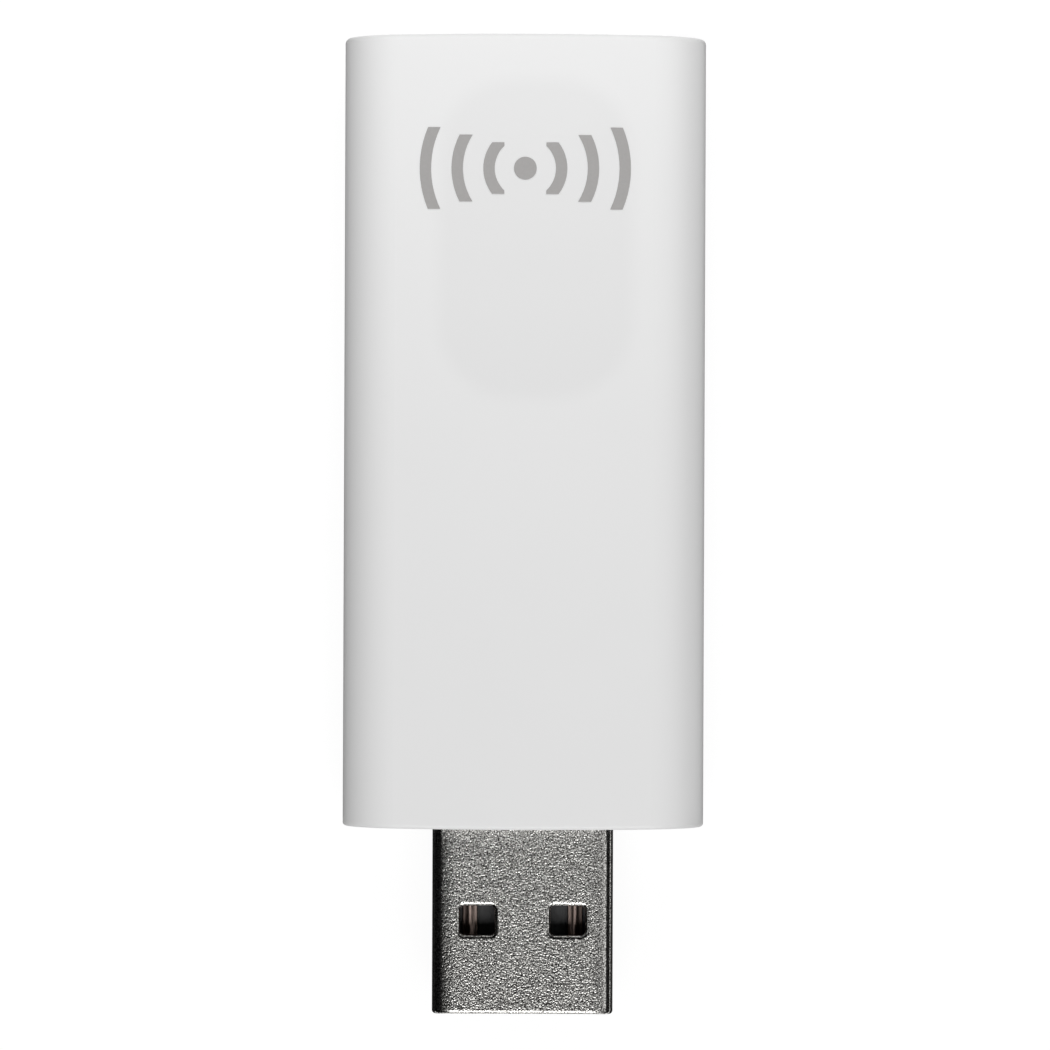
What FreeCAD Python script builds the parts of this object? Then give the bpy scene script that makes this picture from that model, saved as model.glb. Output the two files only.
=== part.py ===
# Smart home USB radio stick: a flat white casing with rounded long sides and a
# USB type A plug standing out of one end. Inside, a circuit board carries the
# radio under its screening can, a USB bridge chip and a wire coil antenna.
#
# All sizes are in millimetres. X runs across the stick, Y along it with the
# plug towards -Y, and Z up through its thickness. The stick lies on the flat
# back of its casing at Z = 0, and the origin is below the middle of its overall
# length and width.

import FreeCAD
import Part
import math
import os

Vector = FreeCAD.Vector
ORIGIN = Vector(0, 0, 0)
ACROSS = Vector(1, 0, 0)
ALONG = Vector(0, 1, 0)
UP = Vector(0, 0, 1)

# Casing: two moulded shells that snap together at half the thickness
casing_width = 24.0
casing_length = 52.6
casing_thickness = 9.0
wall = 1.2
side_radius = 3.7
side_band = 0.4
crown_radius = 110.0
end_bow = 0.12
far_end_round = 0.36
plug_end_round = 0.24
reveal = 0.15
lip_height = 0.8
lip_thickness = 0.55
lip_clearance = 0.05
rib_thickness = 0.8
plug_rib_width = 8.4
plug_rib_inset = 1.2

# Snap hooks on the front shell and their pockets in the back shell
snap_width = 3.0
snap_thickness = 0.75
snap_reach = 1.6
snap_end_distance = 12.0
barb_height = 0.8
barb_depth = 0.55
snap_clearance = 0.1

# Plug: the sheet metal sleeve, its two pairs of windows, its seam and its tabs
plug_width = 12.0
plug_height = 4.5
plug_reach = 12.3
plug_inside = 6.5
sheet = 0.3
plug_bend_radius = 0.7
tip_round = 0.24
mouth_clearance = 0.1
window_width = 2.3
window_length = 1.92
window_from_tip = 5.25
window_spacing = 6.0
window_corner_radius = 0.3
window_edge_round = 0.27
seam_gap = 0.06
seam_key_from_tip = 9.8
seam_key_length = 1.4
seam_key_reach = 1.4
seam_key_flare = 0.3
tab_length = 2.2
tab_reach = 0.9
tab_tail = 0.4
tab_inset = 0.8

# Plug insert: the plastic tongue and block, and four contacts moulded into them
hollow_height = 1.95
hollow_depth = 9.8
tongue_setback = 0.7
tongue_bevel = 0.35
insert_clearance = 0.03
insert_rear_gap = 0.6
latch_pocket_depth = 0.8
latch_pocket_margin = 0.15
contact_width = 1.0
contact_thickness = 0.25
contact_proud = 0.05
contact_groove_margin = 0.14
contact_tail = 1.1
contact_bend = 0.12
bead_width = 0.5
bead_height = 0.07
inner_contact_offset = 1.0
outer_contact_offset = 3.5
inner_contact_setback = 2.0
outer_contact_setback = 1.0

# Circuit board, which the plug is let into, and what holds it in the shells
board_thickness = 0.8
board_lift = 0.15
board_gap = 0.25
board_end_gap = 0.35
board_corner_radius = 0.8
notch_clearance = 0.1
peg_radius = 0.7
peg_clearance = 0.1
peg_rise = 0.6
peg_inset = 1.4
peg_from_plug = 10.4
peg_from_far_end = 14.0
post_radius = 0.65
post_inset = 1.2
far_rib_inset = 2.2
rib_side_inset = 0.75
solder_height = 0.35
solder_margin = 0.35

# Chips and small components: sizes across, along and up
bridge_chip_size = (5.0, 5.0, 0.85)
radio_chip_size = (7.0, 7.0, 0.9)
memory_chip_size = (3.0, 2.0, 0.6)
crystal_size = (3.2, 2.5, 0.7)
filter_size = (3.0, 3.0, 1.0)
ferrite_size = (1.25, 2.0, 0.85)
ferrite_cap = 0.45
storage_capacitor_size = (1.6, 3.2, 1.6)
storage_capacitor_cap = 0.8
small_part_size = (0.5, 1.0, 0.5)
small_part_cap = 0.25
small_part_pitch = 1.4
cap_proud = 0.02
leaded_body = (2.9, 1.6, 1.1)
leaded_span = 2.8
lead_pitch = 0.95
lead_width = 0.4
lead_thickness = 0.15
chip_standoff = 0.05
pin_mark_radius = 0.25
pin_mark_depth = 0.06
part_gap = 0.8

# Screening can over the radio: a soldered frame and a press-on lid
can_height = 1.9
can_sheet = 0.2
can_flange = 0.7
can_margin = 1.4
can_lid_skirt = 1.2
can_lid_clearance = 0.03
can_vent_radius = 0.4
can_vent_pitch = 3.0

# Antenna: a coil of round wire with a leg at each end
coil_radius = 1.45
coil_wire_radius = 0.3
coil_pitch = 1.5
coil_turns = 8
coil_lift = 0.1
coil_from_board_end = 6.4
leg_tail = 0.3
leg_clearance = 0.05

# Printed sign on the front: a dot with three waves to each side
sign_from_far_end = 8.9
sign_dot_radius = 0.75
sign_wave_radii = (2.4, 4.5, 6.6)
sign_wave_rises = (1.7, 2.2, 2.7)
sign_wave_width = 0.75
ink_thickness = 0.03

# Heights and stations that follow from these sizes
half_width = casing_width / 2
connector_length = plug_reach + plug_inside
tip_y = -(casing_length + plug_reach) / 2
mouth_y = tip_y + plug_reach
far_y = mouth_y + casing_length
parting_z = casing_thickness / 2
side_round = min(side_radius, parting_z - side_band)
plug_bottom_z = parting_z - plug_height / 2
plug_top_z = parting_z + plug_height / 2
window_y = tip_y + window_from_tip + window_length / 2
connector_rear_y = tip_y + connector_length
cavity_mouth_y = mouth_y + end_bow + wall
cavity_far_y = far_y - end_bow - wall
board_bottom_z = plug_bottom_z + board_lift
board_top_z = board_bottom_z + board_thickness
board_mouth_y = cavity_mouth_y + board_end_gap
board_far_y = cavity_far_y - board_end_gap
tab_x = plug_width / 2 + tab_reach - sheet / 2
tab_y = connector_rear_y - tab_inset - tab_length / 2
insert_rear_y = connector_rear_y - insert_rear_gap
contact_plane_z = plug_top_z - sheet - hollow_height
contact_end_y = connector_rear_y + contact_tail


def block(x0, x1, y0, y1, z0, z1):
    """A box between two corners."""
    return Part.makeBox(x1 - x0, y1 - y0, z1 - z0, Vector(x0, y0, z0))


def block_at(x, y, size_x, size_y, z0, z1):
    """A box centred on a point of the plan."""
    return block(x - size_x / 2, x + size_x / 2, y - size_y / 2, y + size_y / 2, z0, z1)


def well_at(x, y, size_x, size_y):
    """A box that runs right through the stick's thickness, for cutting and for picking edges."""
    return block_at(x, y, size_x, size_y, -casing_thickness, 2 * casing_thickness)


def pin_at(x, y, z0, z1, radius):
    """An upright round pin."""
    return Part.makeCylinder(radius, z1 - z0, Vector(x, y, z0))


def bore_at(x, y, radius):
    """A round pin that runs right through the stick's thickness, for cutting."""
    return pin_at(x, y, -casing_thickness, 2 * casing_thickness, radius)


def edges_along(shape, direction):
    """The straight edges of a shape that run along a direction."""
    lines = [edge for edge in shape.Edges if isinstance(edge.Curve, Part.Line)]
    return [edge for edge in lines if abs(edge.Curve.Direction.dot(direction)) > 0.999]


def edges_inside(edges, box):
    """Those edges of a list that lie wholly inside a box."""
    return [edge for edge in edges if box.BoundBox.isInside(edge.BoundBox)]


def bar_along_y(half_x, y0, y1, z0, z1, radius):
    """A bar along Y whose four long edges are rounded."""
    bar = block(-half_x, half_x, y0, y1, z0, z1)
    return bar.makeFillet(radius, edges_along(bar, ALONG))


def on_side(side, shape):
    """A shape made for the +X side, or its mirror image for the -X side."""
    return shape if side > 0 else shape.mirror(ORIGIN, ACROSS)


def joined(shapes):
    """Several touching shapes as one solid, with no seams left on flat faces."""
    return shapes[0].multiFuse(shapes[1:]).removeSplitter()


def strip(profile, x, width):
    """A strip across X, centred on x, whose outline in Y and Z is a list of corners."""
    corners = [Vector(x - width / 2, y, z) for y, z in profile]
    return Part.Face(Part.makePolygon(corners + corners[:1])).extrude(ACROSS * width)


def arc(start, middle, end):
    """The edge of a circular arc through three points."""
    return Part.Arc(start, middle, end).toShape()


def line(start, end):
    """A straight edge."""
    return Part.LineSegment(start, end).toShape()


# Casing

def casing_section(inset):
    """The outline across the casing, inset from its outer skin, as a face at y = 0.

    The back is flat and the front is one wide arc. Each side is a rounded back
    corner, a short upright run and a rounded front corner.
    """
    corner_x = half_width - side_round
    crown_z = casing_thickness - crown_radius
    front_z = crown_z + math.sqrt((crown_radius - side_round) ** 2 - corner_x**2)
    lean = math.atan2(front_z - crown_z, corner_x)
    corner = side_round - inset

    def corner_point(side, z, angle):
        return Vector(side * (corner_x + corner * math.cos(angle)), 0, z + corner * math.sin(angle))

    top = Vector(0, 0, casing_thickness - inset)
    edges = [arc(corner_point(-1, front_z, lean), top, corner_point(1, front_z, lean))]
    for side in (1, -1):
        front = [corner_point(side, front_z, lean * share) for share in (1, 0.5, 0)]
        back = [corner_point(side, side_round, -math.pi / 2 * share) for share in (0, 0.5, 1)]
        edges += [arc(*front), line(front[2], back[0]), arc(*back)]
    edges.append(line(corner_point(1, side_round, -math.pi / 2), corner_point(-1, side_round, -math.pi / 2)))
    return Part.Face(Part.Wire(Part.sortEdges(edges)[0]))


def casing_core(inset):
    """The casing's section run along the stick, short of its two ends by the same inset."""
    section = casing_section(inset)
    near, far = mouth_y + end_bow + inset, far_y - end_bow - inset
    section.translate(ALONG * near)
    return section.extrude(ALONG * (far - near))


def casing_plan(inset, rounded=True):
    """The casing's plan, inset from its skin, as an upright prism with slightly bowed ends."""
    x = half_width - inset
    near, far = mouth_y + inset, far_y - inset
    near_left, near_right = Vector(-x, near + end_bow, 0), Vector(x, near + end_bow, 0)
    far_left, far_right = Vector(-x, far - end_bow, 0), Vector(x, far - end_bow, 0)
    edges = [
        arc(near_left, Vector(0, near, 0), near_right),
        line(near_right, far_right),
        arc(far_right, Vector(0, far, 0), far_left),
        line(far_left, near_left),
    ]
    prism = Part.Face(Part.Wire(edges)).extrude(UP * casing_thickness)
    if rounded:
        for y, radius in ((mouth_y, plug_end_round - inset), (far_y, far_end_round - inset)):
            corners = edges_inside(edges_along(prism, UP), well_at(0, y, 2 * casing_width, casing_length))
            if radius > 0:
                prism = prism.makeFillet(radius, corners)
    return prism


def casing_body():
    """The solid envelope of both shells, with its two end rims rounded."""
    section = casing_section(0)
    section.translate(ALONG * mouth_y)
    body = section.extrude(ALONG * casing_length).common(casing_plan(0, rounded=False))
    for y, radius in ((far_y, far_end_round), (mouth_y, plug_end_round)):
        rim = edges_inside(body.Edges, well_at(0, y, 2 * casing_width, 2.5 * end_bow))
        body = body.makeFillet(radius, rim)
    return body


def ring(outer_inset, inner_inset, z0, z1):
    """A band that follows the casing's plan between two insets."""
    band = casing_plan(outer_inset).cut(casing_plan(inner_inset))
    return band.common(block_at(0, 0, 2 * casing_width, 2 * casing_length, z0, z1))


def inner_wall_x(z):
    """Half the cavity's width at a height in its back half."""
    corner = side_round - wall
    drop = min(max(side_round - z, 0), corner)
    return half_width - side_round + math.sqrt(corner**2 - drop**2)


def plug_opening():
    """The hole that both shells leave for the plug, with a small clearance all round."""
    return bar_along_y(
        plug_width / 2 + mouth_clearance,
        mouth_y - wall,
        cavity_mouth_y + wall,
        plug_bottom_z - mouth_clearance,
        plug_top_z + mouth_clearance,
        plug_bend_radius + mouth_clearance,
    )


barb_bottom_z = parting_z - snap_reach
barb_top_z = barb_bottom_z + barb_height
snap_outer_x = inner_wall_x(barb_bottom_z) - snap_clearance
snap_inner_x = snap_outer_x - snap_thickness
snap_stations = (mouth_y + snap_end_distance, far_y - snap_end_distance)
board_half_width = min(snap_inner_x, inner_wall_x(board_bottom_z)) - board_gap
peg_x = board_half_width - peg_inset
peg_places = ((-peg_x, connector_rear_y + peg_from_plug), (peg_x, board_far_y - peg_from_far_end))
post_x = board_half_width - post_inset
post_stations = (board_mouth_y + post_inset, board_far_y - post_inset)
plug_rib_stations = (cavity_mouth_y + plug_rib_inset, connector_rear_y - plug_rib_inset)
board_rib_stations = [y for x, y in peg_places] + [board_far_y - far_rib_inset]


def snap_hook(side, y):
    """A springy arm that hangs from the front shell, with a barb at its foot."""
    y0, y1 = y - snap_width / 2, y + snap_width / 2
    arm = block(snap_inner_x, snap_outer_x, y0, y1, barb_bottom_z, casing_thickness)
    corners = [
        Vector(snap_outer_x, y0, barb_bottom_z),
        Vector(snap_outer_x + barb_depth, y0, barb_top_z),
        Vector(snap_outer_x, y0, barb_top_z),
    ]
    barb = Part.Face(Part.makePolygon(corners + corners[:1])).extrude(ALONG * snap_width)
    return on_side(side, arm.fuse(barb))


def snap_pocket(side, y):
    """The pocket in the back shell's wall that a barb springs into."""
    pocket = block(
        snap_outer_x - snap_clearance,
        snap_outer_x + barb_depth + snap_clearance,
        y - snap_width / 2 - snap_clearance,
        y + snap_width / 2 + snap_clearance,
        barb_bottom_z - snap_clearance,
        barb_top_z + snap_clearance,
    )
    return on_side(side, pocket)


def half_of(shape, z0, z1):
    """What lies of a shape between two heights."""
    return shape.common(block_at(0, 0, 2 * casing_width, 2 * casing_length, z0, z1))


def front_shell(body, cavity, core):
    """The front half: skin, rebate for the lip, snap hooks, board posts and plug ribs."""
    shell = half_of(body.cut(cavity), parting_z, casing_thickness)
    rebate_outer = wall - lip_thickness - lip_clearance
    rebate_inner = wall + end_bow + lip_clearance
    shell = shell.cut(ring(rebate_outer, rebate_inner, parting_z, parting_z + lip_height + lip_clearance))
    features = [snap_hook(side, y) for side in (1, -1) for y in snap_stations]
    for side in (1, -1):
        for y in post_stations:
            features.append(pin_at(side * post_x, y, board_top_z, casing_thickness, post_radius))
    for y in plug_rib_stations:
        features.append(block_at(0, y, plug_rib_width, rib_thickness, plug_top_z, casing_thickness))
    for feature in features:
        shell = shell.fuse(feature.common(core))
    return shell.cut(plug_opening()).removeSplitter()


def back_shell(body, cavity, core):
    """The back half: skin with a shadow gap at its rim, lip, snap pockets, ribs and pegs."""
    shell = half_of(body.cut(cavity), 0, parting_z)
    shell = shell.cut(ring(0, reveal, parting_z - reveal, parting_z))
    shell = shell.fuse(ring(wall - lip_thickness, wall, parting_z - lip_height, parting_z + lip_height))
    features = []
    for y in board_rib_stations:
        rib_length = 2 * (board_half_width - rib_side_inset)
        features.append(block_at(0, y, rib_length, rib_thickness, 0, board_bottom_z))
    for x, y in peg_places:
        features.append(pin_at(x, y, 0, board_top_z + peg_rise, peg_radius))
    for y in plug_rib_stations:
        features.append(block_at(0, y, plug_rib_width, rib_thickness, 0, plug_bottom_z))
    for feature in features:
        shell = shell.fuse(feature.common(core))
    for side in (1, -1):
        for y in snap_stations:
            shell = shell.cut(snap_pocket(side, y))
    return shell.cut(plug_opening()).removeSplitter()


def printed_sign():
    """A film of ink on the crowned front: a dot between two sets of three waves."""
    y = far_y - sign_from_far_end
    shapes = [bore_at(0, y, sign_dot_radius)]
    for radius, rise in zip(sign_wave_radii, sign_wave_rises):
        outer, inner = radius + sign_wave_width / 2, radius - sign_wave_width / 2
        wave = bore_at(0, y, outer).cut(bore_at(0, y, inner))
        for side in (1, -1):
            shapes.append(wave.common(well_at(side * outer, y, outer, 2 * rise)))
    axis_point = Vector(0, mouth_y, casing_thickness - crown_radius)
    skin = Part.makeCylinder(crown_radius, casing_length, axis_point, ALONG)
    film = Part.makeCylinder(crown_radius + ink_thickness, casing_length, axis_point, ALONG).cut(skin)
    return [shape.common(film) for shape in shapes]


# Plug

def seam_cutter():
    """A thin cut through the sleeve's underside, along its seam and round its dovetail key."""
    key_start = tip_y + seam_key_from_tip - seam_key_length / 2
    key_end = key_start + seam_key_length
    path = [
        (0, tip_y - sheet),
        (0, key_start),
        (seam_key_reach, key_start - seam_key_flare),
        (seam_key_reach, key_end + seam_key_flare),
        (0, key_end),
        (0, connector_rear_y + sheet),
    ]
    half = seam_gap / 2
    runs = []
    for (x0, y0), (x1, y1) in zip(path, path[1:]):
        length = math.hypot(x1 - x0, y1 - y0)
        run = block(-half, length + half, -half, half, plug_bottom_z - sheet, plug_bottom_z + 1.5 * sheet)
        run.rotate(ORIGIN, UP, math.degrees(math.atan2(y1 - y0, x1 - x0)))
        run.translate(Vector(x0, y0, 0))
        runs.append(run)
    return joined(runs)


def tab_solid(side):
    """A solder tab: out from the sleeve's side at board level, then down through the board."""
    inner_x, outer_x = plug_width / 2 - sheet, plug_width / 2 + tab_reach
    y0, y1 = tab_y - tab_length / 2, tab_y + tab_length / 2
    top_z = board_top_z + sheet
    shelf = block(inner_x, outer_x, y0, y1, board_top_z, top_z)
    drop = block(outer_x - sheet, outer_x, y0, y1, board_bottom_z - tab_tail, top_z)
    tab = joined([shelf, drop])
    bend = block_at(outer_x, tab_y, sheet / 2, 2 * tab_length, top_z - sheet / 4, top_z + sheet / 4)
    return on_side(side, tab.makeFillet(0.8 * sheet, edges_inside(tab.Edges, bend)))


def plug_sleeve():
    """The plug's metal sleeve, folded from one sheet, with its seam underneath."""
    x = plug_width / 2
    sleeve = bar_along_y(x, tip_y, connector_rear_y, plug_bottom_z, plug_top_z, plug_bend_radius)
    tip_edges = edges_inside(sleeve.Edges, well_at(0, tip_y, 2 * plug_width, tip_round))
    sleeve = sleeve.makeFillet(tip_round, tip_edges)
    sleeve = sleeve.cut(bar_along_y(
        x - sheet,
        tip_y - sheet,
        connector_rear_y + sheet,
        plug_bottom_z + sheet,
        plug_top_z - sheet,
        plug_bend_radius - sheet,
    ))
    for side in (1, -1):
        window = well_at(side * window_spacing / 2, window_y, window_width, window_length)
        sleeve = sleeve.cut(window.makeFillet(window_corner_radius, edges_along(window, UP)))
    for z in (plug_bottom_z, plug_top_z):
        rims = block_at(0, window_y, plug_width, 2 * window_length, z - sheet / 10, z + sheet / 10)
        sleeve = sleeve.makeFillet(window_edge_round, edges_inside(sleeve.Edges, rims))
    return joined([sleeve.cut(seam_cutter()), tab_solid(1), tab_solid(-1)])


def contact(x, setback):
    """One contact: flat along the tongue, down behind the insert, and back onto the board."""
    top = contact_plane_z + contact_proud
    under = top - contact_thickness
    front = tip_y + tongue_setback + setback
    drop = insert_rear_y + contact_thickness
    foot = board_top_z + contact_thickness
    outline = [
        (front, top),
        (drop, top),
        (drop, foot),
        (contact_end_y, foot),
        (contact_end_y, board_top_z),
        (insert_rear_y, board_top_z),
        (insert_rear_y, under),
        (front, under),
    ]
    piece = strip(outline, x, contact_width)
    bends = (
        (drop, top, contact_bend + contact_thickness),
        (insert_rear_y, board_top_z, contact_bend + contact_thickness),
        (drop, foot, contact_bend),
        (insert_rear_y, under, contact_bend),
        (front, top, contact_thickness / 2),
    )
    near = contact_thickness / 10
    for y, z, radius in bends:
        bend = block_at(x, y, 2 * contact_width, 2 * near, z - near, z + near)
        piece = piece.makeFillet(radius, edges_inside(piece.Edges, bend))
    left, right = Vector(x - bead_width / 2, 0, top), Vector(x + bead_width / 2, 0, top)
    bead = Part.Face(Part.Wire([arc(left, Vector(x, 0, top + bead_height), right), line(right, left)]))
    bead_start = front + contact_thickness
    bead.translate(ALONG * bead_start)
    return joined([piece, bead.extrude(ALONG * (tip_y + hollow_depth - bead_start))])


def contact_set():
    """The four contacts by name, as they lie across the plug."""
    return {
        "contact_power": contact(-outer_contact_offset, outer_contact_setback),
        "contact_data_minus": contact(-inner_contact_offset, inner_contact_setback),
        "contact_data_plus": contact(inner_contact_offset, inner_contact_setback),
        "contact_ground": contact(outer_contact_offset, outer_contact_setback),
    }


def plug_insert(contacts):
    """The moulded insert: a tongue under the hollow, and a full block behind it."""
    x = plug_width / 2 - sheet - insert_clearance
    bottom, top = plug_bottom_z + sheet, plug_top_z - sheet
    tongue_y, block_y = tip_y + tongue_setback, tip_y + hollow_depth
    corner = plug_bend_radius - sheet
    insert = bar_along_y(x, tongue_y, insert_rear_y, bottom, top - insert_clearance, corner)
    insert = insert.cut(block(-half_width, half_width, tip_y, block_y, contact_plane_z, plug_top_z))
    near = tongue_bevel / 10
    nose = block_at(0, tongue_y, plug_width, 2 * near, contact_plane_z - near, contact_plane_z + near)
    insert = insert.makeChamfer(tongue_bevel, edges_inside(insert.Edges, nose))
    pocket_width = window_width + 2 * latch_pocket_margin
    pocket_length = window_length + 2 * latch_pocket_margin
    for side in (1, -1):
        pocket_x = side * window_spacing / 2
        pocket_top = bottom + latch_pocket_depth
        insert = insert.cut(block_at(pocket_x, window_y, pocket_width, pocket_length, 0, pocket_top))
    groove_floor = contact_plane_z + contact_proud - contact_thickness
    groove_half = contact_width / 2 + contact_groove_margin
    for piece in contacts:
        x, y0 = piece.BoundBox.Center.x, piece.BoundBox.YMin
        groove = block(x - groove_half, x + groove_half, y0, block_y, groove_floor, top)
        insert = insert.cut(groove).cut(piece)
    return insert.removeSplitter()


# Places on the circuit board: the USB parts behind the plug, then the radio
# under its can, then the antenna at the far end

front_row_y = contact_end_y + part_gap + leaded_span / 2
bridge_y = front_row_y + leaded_span / 2 + part_gap + bridge_chip_size[1] / 2
beside_bridge_x = bridge_chip_size[0] / 2 + part_gap
column_x = beside_bridge_x + part_gap + leaded_body[0] / 2
behind_bridge_y = bridge_y + bridge_chip_size[1] / 2 + part_gap

can_width = 2 * can_margin + radio_chip_size[0] + 3 * small_part_pitch
can_length = 2 * can_margin + radio_chip_size[1] + part_gap + filter_size[1]
can_front_y = behind_bridge_y + 2 * part_gap
can_y = can_front_y + can_length / 2
radio_x = -can_width / 2 + can_margin + radio_chip_size[0] / 2
radio_y = can_front_y + can_margin + radio_chip_size[1] / 2
column_start_x = radio_x + radio_chip_size[0] / 2 + small_part_pitch - small_part_size[0] / 2
row_start_y = radio_y - radio_chip_size[1] / 2 + small_part_size[1] / 2
filter_x = can_width / 2 - can_margin - filter_size[0] / 2
filter_y = can_front_y + can_length - can_margin - filter_size[1] / 2

half_turns = 2 * coil_turns + 1
coil_length = coil_pitch * half_turns / 2
turn_radius = math.hypot(coil_radius, coil_pitch / 4)
coil_y = board_far_y - coil_from_board_end
coil_z = board_top_z + coil_lift + coil_wire_radius + turn_radius
leg_places = ((-coil_length / 2, coil_y + coil_radius), (coil_length / 2, coil_y - coil_radius))
matching_y = coil_y - coil_radius - coil_wire_radius - part_gap


def circuit_board():
    """The bare board, with a notch for the plug and holes for tabs, pegs and antenna legs."""
    board = block(
        -board_half_width, board_half_width, board_mouth_y, board_far_y, board_bottom_z, board_top_z
    )
    board = board.makeFillet(board_corner_radius, edges_along(board, UP))
    notch_x = plug_width / 2 + notch_clearance
    notch_y = connector_rear_y + notch_clearance
    board = board.cut(block(-notch_x, notch_x, tip_y, notch_y, board_bottom_z, board_top_z))
    for side in (1, -1):
        slot_width, slot_length = sheet + 2 * notch_clearance, tab_length + 2 * notch_clearance
        board = board.cut(well_at(side * tab_x, tab_y, slot_width, slot_length))
    for x, y in leg_places:
        board = board.cut(bore_at(x, y, coil_wire_radius + leg_clearance))
    for x, y in peg_places:
        board = board.cut(bore_at(x, y, peg_radius + peg_clearance))
    return board


def solder_joints():
    """Mounds of solder under the board, round the sleeve's tabs and the antenna's legs."""
    foot_z = board_bottom_z - solder_height
    near = solder_height / 10
    mounds = []
    for side in (1, -1):
        x = side * tab_x
        width, length = sheet + 2 * solder_margin, tab_length + 2 * solder_margin
        mound = block_at(x, tab_y, width, length, foot_z, board_bottom_z)
        foot = block_at(x, tab_y, 2 * width, 2 * length, foot_z - near, foot_z + near)
        mound = mound.makeChamfer(solder_margin / 2, edges_inside(mound.Edges, foot))
        mounds.append(mound.cut(tab_solid(side)))
    for x, y in leg_places:
        foot_radius = coil_wire_radius + leg_clearance
        base_radius = foot_radius + solder_margin
        mound = Part.makeCone(foot_radius, base_radius, solder_height, Vector(x, y, foot_z))
        mounds.append(mound.cut(bore_at(x, y, coil_wire_radius)))
    return mounds


def flat_chip(x, y, size):
    """A leadless chip: a moulded block with a round mark beside its first pin."""
    wide, long, high = size
    top = board_top_z + high
    mark_x = x - wide / 2 + 3 * pin_mark_radius
    mark_y = y + long / 2 - 3 * pin_mark_radius
    mark = pin_at(mark_x, mark_y, top - pin_mark_depth, top, pin_mark_radius)
    return block_at(x, y, wide, long, board_top_z, top).cut(mark)


def leaded_chip(x, y, far_leads, near_leads):
    """A small chip on bent leads, with the places of the leads along its two long sides."""
    wide, long, high = leaded_body
    parts = [block_at(x, y, wide, long, board_top_z + chip_standoff, board_top_z + high)]
    shoulder = board_top_z + high / 2
    toe = leaded_span / 2
    knee = (long / 2 + toe) / 2
    outline = [
        (0, shoulder),
        (knee, shoulder),
        (knee, board_top_z + lead_thickness),
        (toe, board_top_z + lead_thickness),
        (toe, board_top_z),
        (knee - lead_thickness, board_top_z),
        (knee - lead_thickness, shoulder - lead_thickness),
        (0, shoulder - lead_thickness),
    ]
    for side, places in ((1, far_leads), (-1, near_leads)):
        profile = [(y + side * out, z) for out, z in outline]
        parts += [strip(profile, x + place * lead_pitch, lead_width) for place in places]
    return joined(parts)


def capped_part(x, y, size, cap):
    """A two-ended component, with a metal cap standing a little proud at each end."""
    wide, long, high = size
    base, top = board_top_z, board_top_z + high
    parts = [block_at(x, y, wide - 2 * cap_proud, long - cap, base + cap_proud, top - cap_proud)]
    for side in (1, -1):
        parts.append(block_at(x, y + side * (long - cap) / 2, wide, cap, base, top))
    return joined(parts)


def small_part(x, y):
    """One of the smallest two-ended components."""
    return capped_part(x, y, small_part_size, small_part_cap)


def small_part_column(column, count):
    """A line of small components beside the radio chip, inside the can."""
    x = column_start_x + column * small_part_pitch
    return [small_part(x, row_start_y + step * small_part_pitch) for step in range(count)]


def ceramic_capacitors():
    """Supply capacitors to both sides of the bridge chip and beside the radio chip."""
    beside = []
    for side in (1, -1):
        for step in (-1, 0):
            beside.append(small_part(side * beside_bridge_x, bridge_y + step * small_part_pitch))
    return beside + small_part_column(0, 4)


def chip_resistors():
    """Resistors behind the bridge chip and beside the radio chip."""
    behind = [small_part(side * small_part_pitch / 2, behind_bridge_y) for side in (1, -1)]
    return behind + small_part_column(1, 3)


def matching_coils():
    """Small wound parts beside the radio chip and in front of the antenna's fed leg."""
    fed_x = leg_places[1][0]
    fed = [small_part(fed_x - step * small_part_pitch, matching_y) for step in range(2)]
    return fed + small_part_column(2, 3)


def screening_frame():
    """The can's soldered frame: four low walls with an inward flange at the top."""
    top = board_top_z + can_height
    room_width, room_length = can_width - 2 * can_sheet, can_length - 2 * can_sheet
    room = block_at(0, can_y, room_width, room_length, board_top_z, top - can_sheet)
    window = well_at(0, can_y, can_width - 2 * can_flange, can_length - 2 * can_flange)
    return block_at(0, can_y, can_width, can_length, board_top_z, top).cut(room).cut(window)


def screening_lid():
    """The can's lid: a shallow tray that presses over the frame, with rows of vent holes."""
    top = board_top_z + can_height
    skirt_z = top - can_lid_skirt
    room_width, room_length = can_width + 2 * can_lid_clearance, can_length + 2 * can_lid_clearance
    lid_width, lid_length = room_width + 2 * can_sheet, room_length + 2 * can_sheet
    lid = block_at(0, can_y, lid_width, lid_length, skirt_z, top + can_sheet)
    lid = lid.makeFillet(can_sheet, edges_along(lid, UP))
    lid = lid.cut(block_at(0, can_y, room_width, room_length, skirt_z, top))
    for column in (-1, 0, 1):
        for row in (-1, 0, 1):
            lid = lid.cut(bore_at(column * can_vent_pitch, can_y + row * can_vent_pitch, can_vent_radius))
    return lid


def antenna_coil():
    """The antenna: a coil of wire along X, with a straight leg down through the board at each end.

    Each half turn is half a ring between two side points of the coil, tilted so
    that it gains half a pitch. It starts and ends upright, so it runs smoothly
    into the next half turn, or into a leg.
    """
    parts = []
    for turn in range(half_turns):
        side = 1 if turn % 2 == 0 else -1
        start_x = -coil_length / 2 + turn * coil_pitch / 2
        start = Vector(start_x, coil_y + side * coil_radius, coil_z)
        end = Vector(start_x + coil_pitch / 2, coil_y - side * coil_radius, coil_z)
        section = Part.Face(Part.Wire(Part.makeCircle(coil_wire_radius, start, UP)))
        parts.append(section.revolve((start + end) / 2, UP.cross(end - start) * side, 180))
    for x, y in leg_places:
        parts.append(pin_at(x, y, board_bottom_z - leg_tail, coil_z, coil_wire_radius))
    return joined(parts)


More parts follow.
